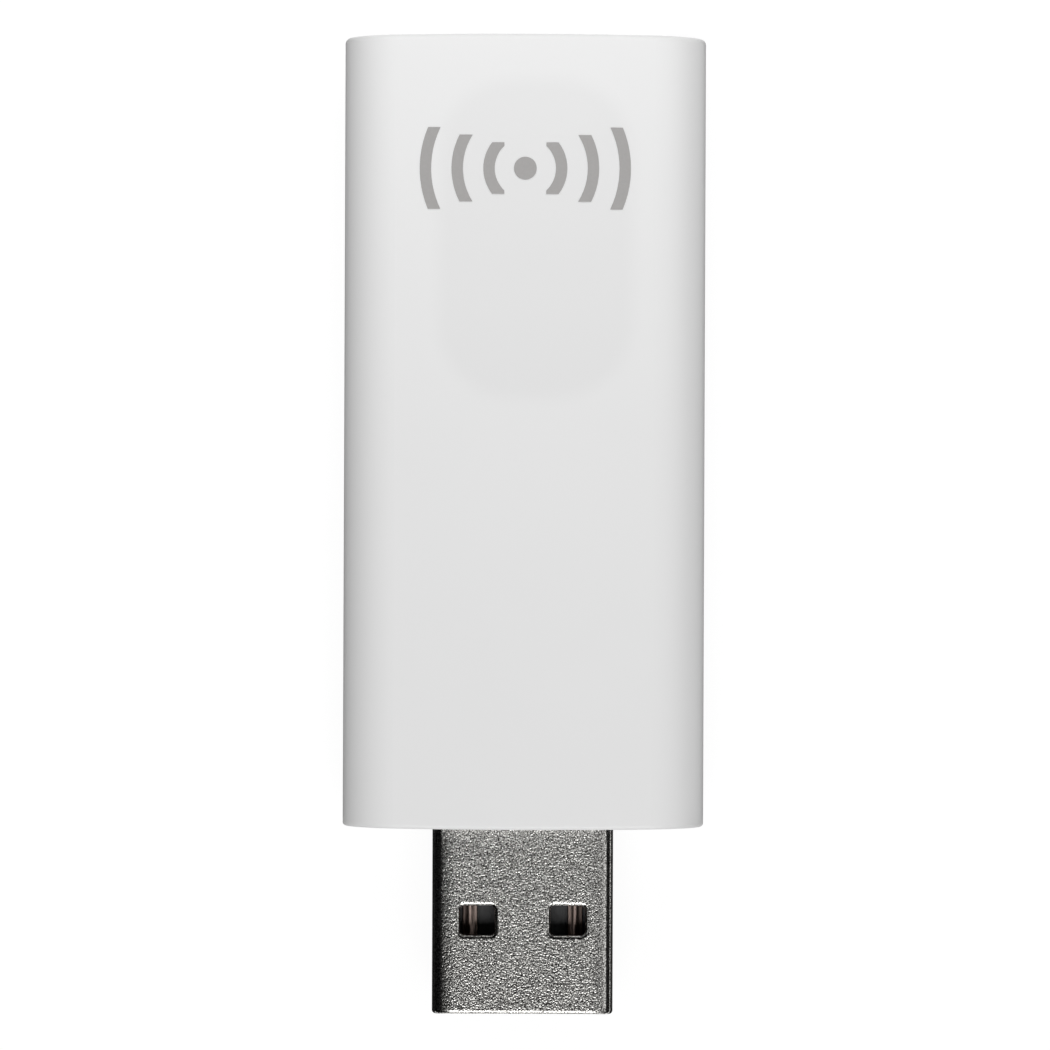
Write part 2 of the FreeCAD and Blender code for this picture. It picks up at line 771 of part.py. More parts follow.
def write(name, shapes):
    """Writes one named piece, after checking that each of its solids is sound."""
    solids = [solid for shape in shapes for solid in shape.Solids]
    for solid in solids:
        if not solid.isValid() or solid.Volume <= 0:
            raise ValueError("unsound solid in " + name)
    whole = solids[0] if len(solids) == 1 else Part.makeCompound(solids)
    whole.exportStep(os.path.join("parts", name + ".step"))
    print(name, len(solids), "solids", round(sum(solid.Volume for solid in solids), 3), "mm3")


def main():
    os.makedirs("parts", exist_ok=True)
    body, cavity, core = casing_body(), casing_core(wall), casing_core(wall / 2)
    write("front_shell", [front_shell(body, cavity, core)])
    write("back_shell", [back_shell(body, cavity, core)])
    write("printed_sign", printed_sign())

    contacts = contact_set()
    write("plug_sleeve", [plug_sleeve()])
    write("plug_insert", [plug_insert(contacts.values())])
    for name, piece in contacts.items():
        write(name, [piece])

    write("circuit_board", [circuit_board()])
    write("solder_joints", solder_joints())
    storage_capacitor = capped_part(
        -column_x, front_row_y, storage_capacitor_size, storage_capacitor_cap
    )
    write("surge_protection_chip", [leaded_chip(0, front_row_y, (-1, 0, 1), (-1, 0, 1))])
    write("storage_capacitor", [storage_capacitor])
    write("ferrite_bead", [capped_part(column_x, front_row_y, ferrite_size, ferrite_cap)])
    write("usb_bridge_chip", [flat_chip(0, bridge_y, bridge_chip_size)])
    write("memory_chip", [flat_chip(-column_x, bridge_y, memory_chip_size)])
    write("voltage_regulator", [leaded_chip(column_x, bridge_y, (-1, 1), (-1, 0, 1))])
    write("radio_chip", [flat_chip(radio_x, radio_y, radio_chip_size)])
    write("radio_crystal", [flat_chip(radio_x, filter_y, crystal_size)])
    write("antenna_filter", [flat_chip(filter_x, filter_y, filter_size)])
    write("ceramic_capacitors", ceramic_capacitors())
    write("chip_resistors", chip_resistors())
    write("matching_coils", matching_coils())
    write("screening_frame", [screening_frame()])
    write("screening_lid", [screening_lid()])
    write("antenna_coil", [antenna_coil()])


main()
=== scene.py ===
# Smart home USB radio stick, dressed and lit as in its photograph. It lies on
# its flat back and is seen from straight above, with its plug towards -Y. The
# sections follow the stick as it is put together, from its plug to its casing.

import bpy
import math
import numpy as np
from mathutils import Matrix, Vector


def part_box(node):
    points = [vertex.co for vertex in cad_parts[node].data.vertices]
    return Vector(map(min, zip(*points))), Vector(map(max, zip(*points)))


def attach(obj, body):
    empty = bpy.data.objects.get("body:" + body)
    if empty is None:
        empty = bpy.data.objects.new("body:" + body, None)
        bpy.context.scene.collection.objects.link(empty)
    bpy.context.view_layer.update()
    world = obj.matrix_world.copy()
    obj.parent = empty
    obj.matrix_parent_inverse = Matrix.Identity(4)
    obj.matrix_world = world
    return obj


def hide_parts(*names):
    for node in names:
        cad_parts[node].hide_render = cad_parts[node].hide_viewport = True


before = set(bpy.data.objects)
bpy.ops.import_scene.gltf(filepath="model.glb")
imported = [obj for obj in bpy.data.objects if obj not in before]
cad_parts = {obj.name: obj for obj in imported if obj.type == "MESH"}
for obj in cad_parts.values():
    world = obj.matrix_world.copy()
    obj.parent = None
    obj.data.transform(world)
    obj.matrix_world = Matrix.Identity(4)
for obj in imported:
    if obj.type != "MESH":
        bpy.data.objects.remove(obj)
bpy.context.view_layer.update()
MM = 0.001

# Plug sleeve
# The plug's outer sleeve, folded from 0.3 mm steel strip round the insert until
# its edges meet in a dovetail underneath, then tumbled and plated with nickel.


def linear(hex_colour):
    """An sRGB hex colour as linear RGBA: each channel is freed of its gamma curve."""
    srgb = np.array([int(hex_colour[place:place + 2], 16) for place in (1, 3, 5)]) / 255
    rgb = np.where(srgb <= 0.04045, srgb / 12.92, ((srgb + 0.055) / 1.055) ** 2.4)
    return (*rgb.tolist(), 1.0)


def new_finish(name):
    """An empty material, ready for its nodes."""
    finish = bpy.data.materials.new(name)
    finish.use_nodes = True
    finish.node_tree.nodes.clear()
    return finish


def add(finish, kind, inputs, **settings):
    """Adds a node to a finish. Inputs gives each socket a value, or the output that feeds it."""
    tree = finish.node_tree
    node = tree.nodes.new("ShaderNode" + kind)
    for name, value in settings.items():
        setattr(node, name, value)
    for socket, value in inputs.items():
        if isinstance(value, bpy.types.NodeSocket):
            tree.links.new(value, node.inputs[socket])
        else:
            node.inputs[socket].default_value = value
    return node


def dress(finish, *nodes):
    """Gives CAD nodes a finish, in place of the plain one of their record slot."""
    for name in nodes:
        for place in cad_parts[name].material_slots:
            place.material = finish


# Tumbled nickel plate: steel grit leaves facets 0.12 mm across that catch the
# light one by one, so the grey sleeve sparkles instead of reflecting an image.
nickel = new_finish("tumbled_nickel_plate")
NICKEL_GRAIN = 0.12 * MM
place = add(nickel, "TexCoord", {}).outputs["Object"]
facets = add(nickel, "TexNoise", {"Vector": place, "Scale": 1.3 / NICKEL_GRAIN, "Detail": 1.0})
shine = add(nickel, "TexNoise", {"Vector": place, "Scale": 1.2 / NICKEL_GRAIN, "Detail": 1.0})
tone = add(nickel, "MapRange", {"Value": facets.outputs["Fac"], "From Min": 0.4, "From Max": 0.6})
colour = add(
    nickel,
    "Mix",
    {0: tone.outputs["Result"], 6: linear("#595755"), 7: linear("#efeeea")},
    data_type="RGBA",
)
# The bends and the windows' rims are burnished smooth by the tumbling: there the
# normal has both an upright and a level part. Their product is 0 on every flat.
facing = add(nickel, "NewGeometry", {}).outputs["Normal"]
parts = add(nickel, "SeparateXYZ", {"Vector": facing})
upright = add(nickel, "Math", {0: parts.outputs["Z"], 1: 2.0}, operation="POWER")
level = add(nickel, "Math", {0: 1.0, 1: upright.outputs[0]}, operation="SUBTRACT")
slant = add(nickel, "Math", {0: upright.outputs[0], 1: level.outputs[0]}, operation="MULTIPLY")
burnish = add(
    nickel,
    "MapRange",
    {"Value": slant.outputs[0], "From Min": 0.001, "From Max": 0.06},
    interpolation_type="SMOOTHSTEP",
)
rough = add(
    nickel,
    "MapRange",
    {"Value": shine.outputs["Fac"], "From Min": 0.3, "From Max": 0.7, "To Min": 0.25, "To Max": 0.35},
)
# Sockets have rubbed the flats a little smoother towards the tip.
RUBBED_FROM = -20 * MM
RUBBED_TO = -32 * MM
spot = add(nickel, "SeparateXYZ", {"Vector": place})
rubbed = add(
    nickel,
    "MapRange",
    {
        "Value": spot.outputs["Y"],
        "From Min": RUBBED_FROM,
        "From Max": RUBBED_TO,
        "To Min": 1.0,
        "To Max": 0.82,
    },
)
worn = add(nickel, "Math", {0: rough.outputs["Result"], 1: rubbed.outputs["Result"]}, operation="MULTIPLY")
roughness = add(nickel, "Mix", {0: burnish.outputs["Result"], 2: worn.outputs[0], 3: 0.14})
relieved = add(nickel, "MapRange", {"Value": burnish.outputs["Result"], "To Min": 1.0, "To Max": 0.1})
grit = add(
    nickel, "Math", {0: relieved.outputs["Result"], 1: rubbed.outputs["Result"]}, operation="MULTIPLY"
)
# The fold has drawn the last of each flat down a little before its bend, by 0.13 mm
# times the square of the millimetres past this line, so the light falls off there.
DRAWN_FROM = 4.3 * MM
DRAWN_RATE = 0.13 / MM
off_middle = add(nickel, "Math", {0: spot.outputs["X"]}, operation="ABSOLUTE")
past_flat = add(nickel, "Math", {0: off_middle.outputs[0], 1: DRAWN_FROM}, operation="SUBTRACT")
drawn = add(nickel, "Math", {0: past_flat.outputs[0], 1: 0.0}, operation="MAXIMUM")
fall = add(nickel, "Math", {0: drawn.outputs[0], 1: 2.0}, operation="POWER")
depth = add(nickel, "Math", {0: fall.outputs[0], 1: -DRAWN_RATE}, operation="MULTIPLY")
crown = add(nickel, "Bump", {"Height": depth.outputs[0], "Strength": 1.0, "Distance": 1.0})
relief = add(
    nickel,
    "Bump",
    {
        "Height": shine.outputs["Fac"],
        "Strength": grit.outputs[0],
        "Distance": 0.26 * NICKEL_GRAIN,
        "Normal": crown.outputs["Normal"],
    },
)
# The plating bath hardly reaches inside the sleeve, so from a quarter of a
# millimetre below its outer skin the metal stays dull. Its colour there is also
# painted near black, a painted shade in the sleeve's hollow.
PLUG_LEVEL = 4.5 * MM
INSIDE_HALF_HIGH = 2.0 * MM
INSIDE_HALF_WIDE = 5.75 * MM
INSIDE_FADE = 0.02 * MM
off_level = add(nickel, "Math", {0: spot.outputs["Z"], 1: PLUG_LEVEL}, operation="SUBTRACT")
from_level = add(nickel, "Math", {0: off_level.outputs[0]}, operation="ABSOLUTE")
inside_up = add(
    nickel,
    "MapRange",
    {
        "Value": from_level.outputs[0],
        "From Min": INSIDE_HALF_HIGH + INSIDE_FADE,
        "From Max": INSIDE_HALF_HIGH - INSIDE_FADE,
    },
)
inside_across = add(
    nickel,
    "MapRange",
    {
        "Value": off_middle.outputs[0],
        "From Min": INSIDE_HALF_WIDE + INSIDE_FADE,
        "From Max": INSIDE_HALF_WIDE - INSIDE_FADE,
    },
)
inside = add(
    nickel,
    "Math",
    {0: inside_up.outputs["Result"], 1: inside_across.outputs["Result"]},
    operation="MULTIPLY",
)
# Painted shade: inside the sleeve the colour turns near black.
plated_with_painted_shade = add(
    nickel,
    "Mix",
    {0: inside.outputs[0], 6: colour.outputs[2], 7: linear("#2b2a29")},
    data_type="RGBA",
)
dulled = add(nickel, "Mix", {0: inside.outputs[0], 2: roughness.outputs[0], 3: 0.6})
shader = add(
    nickel,
    "BsdfPrincipled",
    {
        "Base Color": plated_with_painted_shade.outputs[2],
        "Metallic": 1.0,
        "Roughness": dulled.outputs[0],
        "Normal": relief.outputs["Normal"],
    },
)
add(nickel, "OutputMaterial", {"Surface": shader.outputs["BSDF"]})
dress(nickel, "plug_sleeve")

# Plug insert
# The black tongue and block inside the sleeve, moulded round the contacts in
# one shot of glass-filled polyester.

# Glass-filled polyester: the fibres lie along the flow and leave a soft streaky
# sheen on a black that is otherwise dull.
polyester = new_finish("glass_filled_polyester")
place = add(polyester, "TexCoord", {}).outputs["Object"]
flow = add(polyester, "Mapping", {"Vector": place, "Scale": (1.0, 0.15, 1.0)})
fibres = add(
    polyester, "TexNoise", {"Vector": flow.outputs["Vector"], "Scale": 1 / (0.1 * MM), "Detail": 3.0}
)
roughness = add(
    polyester,
    "MapRange",
    {"Value": fibres.outputs["Fac"], "From Min": 0.3, "From Max": 0.7, "To Min": 0.5, "To Max": 0.62},
)
colour = add(
    polyester,
    "Mix",
    {0: fibres.outputs["Fac"], 6: linear("#0f0f12"), 7: linear("#17171a")},
    data_type="RGBA",
)
relief = add(polyester, "Bump", {"Height": fibres.outputs["Fac"], "Strength": 0.5, "Distance": 0.004 * MM})
shader = add(
    polyester,
    "BsdfPrincipled",
    {
        "Base Color": colour.outputs[2],
        "Roughness": roughness.outputs["Result"],
        "Normal": relief.outputs["Normal"],
        "IOR": 1.95,
    },
)
add(polyester, "OutputMaterial", {"Surface": shader.outputs["BSDF"]})
dress(polyester, "plug_insert")

# Contacts
# Four strips stamped from bronze, with a bead pressed along each for stiffness,
# then flashed with gold and laid in the insert's mould.
STRIP = 0.21 * MM
STRIP_EDGE = 0.09 * MM
STRIP_BEND = 0.245 * MM
BEAD_HALF = 0.235 * MM
BEAD_HEIGHT = 0.11 * MM
BEAD_FADE = 0.3 * MM
BEAD_STEPS = 15
HOLLOW_DEPTH = 9.8 * MM


def bent_line(corners, radius, steps=9):
    """A line in a plane, through corners that an arc rounds off.

    Each arc starts before its corner by the radius times the tangent of half the
    turn, and its points turn evenly from one direction to the next.
    """
    corners = np.array(corners)
    runs = np.diff(corners, axis=0)
    heading = np.unwrap(np.arctan2(runs[:, 1], runs[:, 0]))
    turn = np.diff(heading)[:, None]
    before = heading[:-1, None]
    at = before + turn * np.linspace(0.0, 1.0, steps)[None, :]
    reach = radius * np.tan(np.abs(turn) / 2)
    first = corners[1:-1] - reach * np.concatenate((np.cos(before), np.sin(before)), axis=1)
    across = first[:, :1] + radius * np.sign(turn) * (np.sin(at) - np.sin(before))
    up = first[:, 1:] - radius * np.sign(turn) * (np.cos(at) - np.cos(before))
    arcs = np.stack((across, up), axis=-1).reshape(-1, 2)
    return np.concatenate((corners[:1], arcs, corners[-1:]))


def oblong(half_wide, half_high, corner, steps=5):
    """A closed ring: a circle's four quarters, each moved out to its own corner."""
    quarter = np.radians(np.arange(4) * 90.0)[:, None]
    angle = quarter + np.radians(np.linspace(0.0, 90.0, steps))[None, :]
    towards = quarter + math.pi / 4
    wide = np.sign(np.cos(towards)) * (half_wide - corner) + corner * np.cos(angle)
    high = np.sign(np.sin(towards)) * (half_high - corner) + corner * np.sin(angle)
    return np.stack((wide, high), axis=-1).reshape(-1, 2)


def new_piece(name, rings, finish, node):
    """A piece made of one or more parts, each a stack of closed rings of points.

    Every point is joined to the next in its ring and to the same one in the next
    ring, and the first and last ring of each part are filled.
    """
    parts, count, sides = rings.shape[:3]
    start, ring, side = np.meshgrid(
        np.arange(parts) * count * sides, np.arange(count - 1) * sides, np.arange(sides), indexing="ij"
    )
    here = start + ring + side
    beside = start + ring + (side + 1) % sides
    quads = np.stack((here, here + sides, beside + sides, beside), axis=-1).reshape(-1, 4)
    first = np.arange(parts)[:, None] * count * sides + np.arange(sides)[None, :]
    last = first[:, ::-1] + (count - 1) * sides
    mesh = bpy.data.meshes.new(name)
    mesh.from_pydata(rings.reshape(-1, 3).tolist(), [], quads.tolist() + first.tolist() + last.tolist())
    mesh.polygons.foreach_set("use_smooth", np.arange(len(mesh.polygons)) < len(quads))
    mesh.materials.append(finish)
    piece = bpy.data.objects.new(name, mesh)
    bpy.context.scene.collection.objects.link(piece)
    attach(piece, "root")
    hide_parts(node)
    return piece


def swept(line, section):
    """Rings of a section carried along a line in the Y and Z plane.

    The section's first value goes along X and its second along the line's left
    normal. Either is one ring for the whole line or one for each of its points.
    """
    heading = np.gradient(line, axis=0)
    heading = heading / np.linalg.norm(heading, axis=1)[:, None]
    y = line[:, :1] - heading[:, 1:] * section[..., 1]
    z = line[:, 1:] + heading[:, :1] * section[..., 1]
    return np.stack((section[..., 0] + np.zeros(y.shape), y, z), axis=-1)


# Gold flash over nickel: so thin that it only warms the metal to a pale rose.
# The strip was rolled, so the faint lines in its shine run along it.
gold = new_finish("gold_flashed_bronze")
place = add(gold, "TexCoord", {}).outputs["Object"]
drawn = add(gold, "Mapping", {"Vector": place, "Scale": (1.0, 0.04, 1.0)})
lines = add(gold, "TexNoise", {"Vector": drawn.outputs["Vector"], "Scale": 1 / (0.06 * MM), "Detail": 2.0})
roughness = add(
    gold,
    "MapRange",
    {"Value": lines.outputs["Fac"], "From Min": 0.3, "From Max": 0.7, "To Min": 0.31, "To Max": 0.39},
)
colour = add(
    gold,
    "Mix",
    {0: lines.outputs["Fac"], 6: linear("#e6cbbf"), 7: linear("#f4ddd2")},
    data_type="RGBA",
)
relief = add(gold, "Bump", {"Height": lines.outputs["Fac"], "Strength": 0.3, "Distance": 0.001 * MM})
shader = add(
    gold,
    "BsdfPrincipled",
    {
        "Base Color": colour.outputs[2],
        "Metallic": 1.0,
        "Roughness": roughness.outputs["Result"],
        "Normal": relief.outputs["Normal"],
    },
)
add(gold, "OutputMaterial", {"Surface": shader.outputs["BSDF"]})

insert_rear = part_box("plug_insert")[1].y
hollow_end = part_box("plug_sleeve")[0].y + HOLLOW_DEPTH
for node in ("contact_power", "contact_data_minus", "contact_data_plus", "contact_ground"):
    low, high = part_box(node)
    middle = STRIP / 2
    bead_top = high.z
    top = bead_top - BEAD_HEIGHT - middle
    drop = insert_rear + middle
    route = bent_line(
        [(low.y, top), (drop, top), (drop, low.z + middle), (high.y, low.z + middle)], STRIP_BEND
    )
    # The line is walked again, with more places at its rounded tips and where the
    # bead rises and sinks.
    walked = np.concatenate(([0.0], np.cumsum(np.linalg.norm(np.diff(route, axis=0), axis=1))))
    tip = middle * (1 - np.cos(np.radians(np.linspace(0.0, 90.0, 6))))
    bead_places = np.linspace(STRIP, hollow_end - low.y, 40)
    places = np.unique(np.concatenate((walked, tip, walked[-1] - tip, bead_places)).round(9))
    line = np.stack([np.interp(places, walked, route[:, axis]) for axis in (0, 1)], axis=-1)
    # At each tip the strip's height follows a quarter circle, short of nothing.
    from_end = np.minimum(places, places[-1] - places)
    thickness = np.sqrt(np.clip(1 - (1 - from_end / middle).clip(0.0, 1.0) ** 2, 0.03, 1.0))
    inside = np.minimum(places - STRIP, hollow_end - low.y - places)
    rise = (inside / BEAD_FADE).clip(0.0, 1.0)
    rise = rise * rise * (3 - 2 * rise)
    edge = oblong((high.x - low.x) / 2, middle, STRIP_EDGE)
    crown_x = np.linspace(BEAD_HALF, -BEAD_HALF, BEAD_STEPS)
    crown = np.stack((crown_x, np.full(BEAD_STEPS, middle)), axis=-1)
    ring = np.concatenate((edge[:5], crown, edge[5:]))
    bulge = np.where(ring[:, 1] > 0, (1 - (ring[:, 0] / BEAD_HALF) ** 2).clip(0.0, 1.0), 0.0)
    height = ring[None, :, 1] * thickness[:, None] + BEAD_HEIGHT * bulge[None, :] * rise[:, None]
    width = np.broadcast_to(ring[None, :, 0] + (low.x + high.x) / 2, height.shape)
    rings = swept(line, np.stack((width, height), axis=-1))
    new_piece(node + "_strip", rings[None], gold, node)

# Circuit board
# The bare board, 0.8 mm of woven glass in resin with copper on both sides under
# a green mask. The plug sits in its notch, and two pegs hold it in the casing.

# Solder mask over copper: glossy green, lighter where copper lies under it and
# darker in the gaps between, with bare tinned rings at the vias.
TRACK_FIELD = 2.2 * MM
TRACK_GAP = 0.12 * MM
VIA_RADIUS = 0.22 * MM
laminate = new_finish("masked_glass_laminate")
place = add(laminate, "TexCoord", {}).outputs["Object"]
gaps = add(
    laminate,
    "TexVoronoi",
    {"Vector": place, "Scale": 1 / TRACK_FIELD, "Randomness": 0.7},
    feature="DISTANCE_TO_EDGE",
    voronoi_dimensions="2D",
)
copper = add(
    laminate,
    "MapRange",
    {
        "Value": gaps.outputs["Distance"],
        "From Min": 0.4 * TRACK_GAP / TRACK_FIELD,
        "From Max": TRACK_GAP / TRACK_FIELD,
    },
)
masked = add(
    laminate,
    "Mix",
    {0: copper.outputs["Result"], 6: linear("#0c3f25"), 7: linear("#1c6b40")},
    data_type="RGBA",
)
dots = add(
    laminate,
    "TexVoronoi",
    {"Vector": place, "Scale": 1 / TRACK_FIELD, "Randomness": 0.7},
    voronoi_dimensions="2D",
)
via = add(
    laminate,
    "MapRange",
    {
        "Value": dots.outputs["Distance"],
        "From Min": VIA_RADIUS / TRACK_FIELD,
        "From Max": 0.8 * VIA_RADIUS / TRACK_FIELD,
    },
)
printed = add(
    laminate,
    "Mix",
    {0: via.outputs["Result"], 6: masked.outputs[2], 7: linear("#c9c2ae")},
    data_type="RGBA",
)
# The routed edges show the layers of glass cloth, straw yellow.
layers = add(laminate, "Mapping", {"Vector": place, "Scale": (0.2, 0.2, 1.0)})
cloth = add(
    laminate, "TexNoise", {"Vector": layers.outputs["Vector"], "Scale": 1 / (0.12 * MM), "Detail": 2.0}
)
edge_colour = add(
    laminate,
    "Mix",
    {0: cloth.outputs["Fac"], 6: linear("#8d8150"), 7: linear("#c4b987")},
    data_type="RGBA",
)
facing = add(laminate, "NewGeometry", {}).outputs["Normal"]
parts = add(laminate, "SeparateXYZ", {"Vector": facing})
upright = add(laminate, "Math", {0: parts.outputs["Z"]}, operation="ABSOLUTE")
face = add(laminate, "MapRange", {"Value": upright.outputs[0], "From Min": 0.4, "From Max": 0.6})
colour = add(
    laminate,
    "Mix",
    {0: face.outputs["Result"], 6: edge_colour.outputs[2], 7: printed.outputs[2]},
    data_type="RGBA",
)
roughness = add(laminate, "MapRange", {"Value": face.outputs["Result"], "To Min": 0.75, "To Max": 0.28})
relief = add(laminate, "Bump", {"Height": copper.outputs["Result"], "Strength": 0.6, "Distance": 0.03 * MM})
shader = add(
    laminate,
    "BsdfPrincipled",
    {
        "Base Color": colour.outputs[2],
        "Metallic": via.outputs["Result"],
        "Roughness": roughness.outputs["Result"],
        "Normal": relief.outputs["Normal"],
        "IOR": 1.55,
    },
)
add(laminate, "OutputMaterial", {"Surface": shader.outputs["BSDF"]})
dress(laminate, "circuit_board")

# Solder joints
# Mounds of solder that fix the plug's two tabs and the antenna's two legs under
# the board.

# Reflowed solder: bright and nearly smooth, with a faint frosting of tin crystals.
solder = new_finish("reflowed_solder")
place = add(solder, "TexCoord", {}).outputs["Object"]
crystals = add(solder, "TexVoronoi", {"Vector": place, "Scale": 1 / (0.09 * MM)})
roughness = add(
    solder, "MapRange", {"Value": crystals.outputs["Distance"], "To Min": 0.18, "To Max": 0.42}
)
colour = add(
    solder,
    "Mix",
    {0: crystals.outputs["Distance"], 6: linear("#cfcfcc"), 7: linear("#b3b3b1")},
    data_type="RGBA",
)
relief = add(
    solder, "Bump", {"Height": crystals.outputs["Distance"], "Strength": 0.3, "Distance": 0.006 * MM}
)
shader = add(
    solder,
    "BsdfPrincipled",
    {
        "Base Color": colour.outputs[2],
        "Metallic": 1.0,
        "Roughness": roughness.outputs["Result"],
        "Normal": relief.outputs["Normal"],
    },
)
add(solder, "OutputMaterial", {"Surface": shader.outputs["BSDF"]})
dress(solder, "solder_joints")

# Leaded chips
# The surge protector on the data lines and the voltage regulator: a small block
# of resin moulded round each chip, on tinned leads bent down to the board.
CHIP_STANDOFF = 0.05 * MM
LEADED_LONG = 1.6 * MM
LEAD = 0.15 * MM
LEAD_HALF = 0.2 * MM
LEAD_PITCH = 0.95 * MM
LEAD_BEND = 0.11 * MM
BODY_ROUND = 0.1 * MM
BODY_DRAFT = 0.12


def blocks(centres, size, corner, steps=4):
    """Blocks with every edge rounded, each a stack of oblongs along Y.

    Towards each end the oblongs draw in by the corner times one less the sine of
    an angle, while the last stretch of length is the corner times its cosine. They
    draw in by 98% of that, so that the end ring's own corners stay open.
    """
    half = np.array(size) / 2
    angle = np.radians(np.linspace(0.0, 90.0, steps))
    inset = corner * (1 - np.sin(angle)) * 0.98
    y = -half[1] + corner * (1 - np.cos(angle))
    inset = np.concatenate((inset, inset[::-1]))
    y = np.concatenate((y, -y[::-1]))
    rings = np.stack([oblong(half[0] - draw, half[2] - draw, corner - draw, steps) for draw in inset])
    block = np.stack((rings[..., 0], np.broadcast_to(y[:, None], rings.shape[:2]), rings[..., 1]), axis=-1)
    return block[None] + np.array(centres)[:, None, None, :]


# Moulded resin: silica-filled epoxy, near black, with a fine matt skin from its
# spark-eroded mould.
resin = new_finish("moulded_epoxy_resin")
place = add(resin, "TexCoord", {}).outputs["Object"]
skin = add(resin, "TexNoise", {"Vector": place, "Scale": 1 / (0.05 * MM), "Detail": 3.0})
roughness = add(
    resin,
    "MapRange",
    {"Value": skin.outputs["Fac"], "From Min": 0.3, "From Max": 0.7, "To Min": 0.45, "To Max": 0.62},
)
colour = add(
    resin,
    "Mix",
    {0: skin.outputs["Fac"], 6: linear("#1f1f20"), 7: linear("#2b2b2d")},
    data_type="RGBA",
)
relief = add(resin, "Bump", {"Height": skin.outputs["Fac"], "Strength": 0.6, "Distance": 0.006 * MM})
shader = add(
    resin,
    "BsdfPrincipled",
    {
        "Base Color": colour.outputs[2],
        "Roughness": roughness.outputs["Result"],
        "Normal": relief.outputs["Normal"],
        "IOR": 1.55,
    },
)
add(resin, "OutputMaterial", {"Surface": shader.outputs["BSDF"]})

# Tin plate on copper: pale and satin, with soft lines where the metal was drawn.
tinned = new_finish("tinned_copper")
place = add(tinned, "TexCoord", {}).outputs["Object"]
drawn = add(tinned, "Mapping", {"Vector": place, "Scale": (0.3, 1.0, 1.0)})
lines = add(tinned, "TexNoise", {"Vector": drawn.outputs["Vector"], "Scale": 1 / (0.04 * MM), "Detail": 2.0})
roughness = add(
    tinned,
    "MapRange",
    {"Value": lines.outputs["Fac"], "From Min": 0.3, "From Max": 0.7, "To Min": 0.24, "To Max": 0.38},
)
colour = add(
    tinned,
    "Mix",
    {0: lines.outputs["Fac"], 6: linear("#c6c4be"), 7: linear("#dcdad5")},
    data_type="RGBA",
)
relief = add(tinned, "Bump", {"Height": lines.outputs["Fac"], "Strength": 0.3, "Distance": 0.003 * MM})
shader = add(
    tinned,
    "BsdfPrincipled",
    {
        "Base Color": colour.outputs[2],
        "Metallic": 1.0,
        "Roughness": roughness.outputs["Result"],
        "Normal": relief.outputs["Normal"],
    },
)
add(tinned, "OutputMaterial", {"Surface": shader.outputs["BSDF"]})

for node, far_leads, near_leads in (
    ("surge_protection_chip", (-1, 0, 1), (-1, 0, 1)),
    ("voltage_regulator", (-1, 1), (-1, 0, 1)),
):
    low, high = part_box(node)
    middle = (low + high) / 2
    body_low = low.z + CHIP_STANDOFF
    size = (high.x - low.x, LEADED_LONG, high.z - body_low)
    centre = (middle.x, middle.y, (high.z + body_low) / 2)
    body = blocks([centre], size, BODY_ROUND)
    # The mould's draft: the body narrows above and below its middle, where the
    # leads come out.
    away = np.abs(body[..., 2:] - centre[2]) * BODY_DRAFT * 2 / np.array(size[:2])
    body[..., :2] = centre[:2] + (body[..., :2] - centre[:2]) * (1 - away)
    new_piece(node + "_body", body, resin, node)
    shoulder = low.z + (high.z - low.z) / 2 - LEAD / 2
    toe = (high.y - low.y) / 2
    knee = (LEADED_LONG / 2 + toe) / 2 - LEAD / 2
    start = LEADED_LONG / 2 - LEAD
    foot = low.z + LEAD / 2
    lead = bent_line([(start, shoulder), (knee, shoulder), (knee, foot), (toe, foot)], LEAD_BEND, 6)
    rings = swept(lead, oblong(LEAD_HALF, LEAD / 2, LEAD / 4, 3))
    leads = []
    for side, places in ((1, far_leads), (-1, near_leads)):
        turned = rings * np.array((side, side, 1))
        leads += [turned + np.array((middle.x + step * LEAD_PITCH, middle.y, 0.0)) for step in places]
    new_piece(node + "_leads", np.stack(leads), tinned, node)

# Two-ended parts
# Everything on the board that has a metal cap at each end: the 3.3 volt supply's
# large capacitor and ferrite bead, and the groups of small parts.
CAP_PROUD = 0.02 * MM
CAP_ROUND = 0.06 * MM
STORAGE_CAPACITOR_CAP = 0.8 * MM
FERRITE_CAP = 0.45 * MM
PITCH = 1.4 * MM
PART_GAP = 0.8 * MM
SMALL_PART = (0.5 * MM, 1.0 * MM, 0.5 * MM)
SMALL_CAP = 0.25 * MM


def fired_ceramic(name, dark, pale, rough_low, rough_high):
    """A fired ceramic between two colours, with the faint grain of its pressed powder."""
    ceramic = new_finish(name)
    place = add(ceramic, "TexCoord", {}).outputs["Object"]
    powder = add(ceramic, "TexNoise", {"Vector": place, "Scale": 1 / (0.06 * MM), "Detail": 3.0})
    roughness = add(
        ceramic,
        "MapRange",
        {
            "Value": powder.outputs["Fac"],
            "From Min": 0.3,
            "From Max": 0.7,
            "To Min": rough_low,
            "To Max": rough_high,
        },
    )
    colour = add(
        ceramic,
        "Mix",
        {0: powder.outputs["Fac"], 6: linear(dark), 7: linear(pale)},
        data_type="RGBA",
    )
    relief = add(ceramic, "Bump", {"Height": powder.outputs["Fac"], "Strength": 0.4, "Distance": 0.004 * MM})
    shader = add(
        ceramic,
        "BsdfPrincipled",
        {
            "Base Color": colour.outputs[2],
            "Roughness": roughness.outputs["Result"],
            "Normal": relief.outputs["Normal"],
            "IOR": 1.7,
        },
    )
    add(ceramic, "OutputMaterial", {"Surface": shader.outputs["BSDF"]})
    return ceramic


